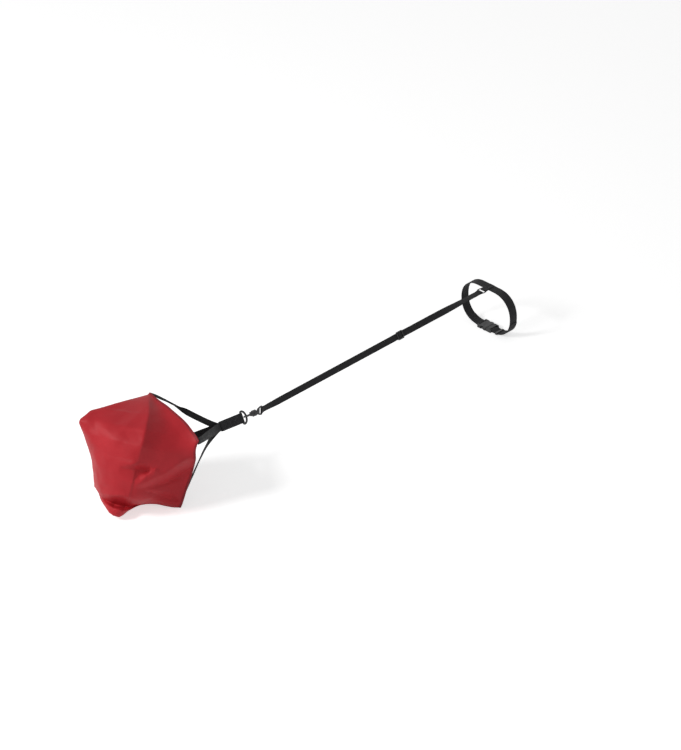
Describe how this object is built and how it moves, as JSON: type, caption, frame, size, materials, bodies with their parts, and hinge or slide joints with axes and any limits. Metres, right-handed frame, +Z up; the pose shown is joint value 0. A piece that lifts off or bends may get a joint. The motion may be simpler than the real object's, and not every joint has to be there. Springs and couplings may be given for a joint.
{
  "type": "swim parachute",
  "caption": "Square drag canopy on a four-leg webbing bridle, with a swivelling snap hook, a tether and a waist belt closed by a side-release buckle.",
  "frame": {"origin": "on the floor under the middle of the waist belt, in the buckle's flat underside", "axes": "+Z up, -X from the belt along the tether towards the canopy, +Y completes the right-handed frame"},
  "size_m": [1.9846, 0.3778, 0.3727],
  "materials": {
    "red_nylon": "coated, slightly glossy",
    "webbing": "woven, matte",
    "moulding": "moulded, satin",
    "pin": "plain"
  },
  "bodies": {
    "belt": {"belt_strap": "webbing", "ring_tab": "webbing", "buckle_socket": "moulding", "buckle_plug": "moulding"},
    "right_prong": {"prong_right": "moulding"},
    "left_prong": {"prong_left": "moulding"},
    "keeper": {"tail_keeper": "moulding"},
    "ring": {"belt_ring": "moulding"},
    "tether": {"tether_strap": "webbing", "tether_slider": "moulding"},
    "eye": {"swivel_eye": "moulding"},
    "hook": {"hook_body": "moulding", "gate_pin": "pin"},
    "gate": {"hook_gate": "moulding"},
    "dee": {"dee_ring": "moulding"},
    "canopy": {"canopy_cloth": "red_nylon", "leg_top": "webbing", "leg_near": "webbing", "leg_low": "webbing", "leg_far": "webbing", "bridle_collar": "webbing"}
  },
  "joints": [
    {"name": "right_prong_bend", "type": "hinge", "parent": "belt", "child": "right_prong", "pos_m": [0.0155, -0.0165, 0.0065], "axis": [0, 0, 1], "range_deg": [0, 11], "stiffness_Nm_per_rad": 0.15, "springref_deg": -5.73},
    {"name": "left_prong_bend", "type": "hinge", "parent": "belt", "child": "left_prong", "pos_m": [-0.0155, -0.0165, 0.0065], "axis": [0, 0, -1], "range_deg": [0, 11], "stiffness_Nm_per_rad": 0.15, "springref_deg": -5.73},
    {"name": "keeper_slide", "type": "slide", "parent": "belt", "child": "keeper", "axis": [0, 0.9878, -0.1556], "range_m": [-0.006, 0.005]},
    {"name": "ring_swing", "type": "hinge", "parent": "belt", "child": "ring", "pos_m": [-0.031, 0, 0.18], "axis": [0, 1, 0], "range_deg": [-35, 35]},
    {"name": "tether_swing", "type": "hinge", "parent": "ring", "child": "tether", "pos_m": [-0.049, 0, 0.18], "axis": [0, 1, 0], "range_deg": [-45, 45]},
    {"name": "eye_swing", "type": "hinge", "parent": "tether", "child": "eye", "pos_m": [-1.22, 0, 0.18], "axis": [0, 0, 1], "range_deg": [-40, 40]},
    {"name": "hook_swivel", "type": "hinge", "parent": "eye", "child": "hook", "pos_m": [-1.25565, 0.00501, 0.18], "axis": [0.9903, -0.1392, 0], "continuous": true},
    {"name": "gate_hinge", "type": "hinge", "parent": "hook", "child": "gate", "pos_m": [-1.26568, -0.00172, 0.18503], "axis": [-0.0737, -0.5248, -0.848], "range_deg": [0, 28], "stiffness_Nm_per_rad": 0.05, "springref_deg": -17.19},
    {"name": "dee_swing", "type": "hinge", "parent": "hook", "child": "dee", "pos_m": [-1.2913, 0.01002, 0.18], "axis": [0.0737, 0.5248, 0.848], "range_deg": [-35, 35]},
    {"name": "bridle_swing", "type": "hinge", "parent": "dee", "child": "canopy", "pos_m": [-1.31111, 0.0128, 0.18], "axis": [0.0737, 0.5248, 0.848], "range_deg": [-40, 40]}
  ]
}
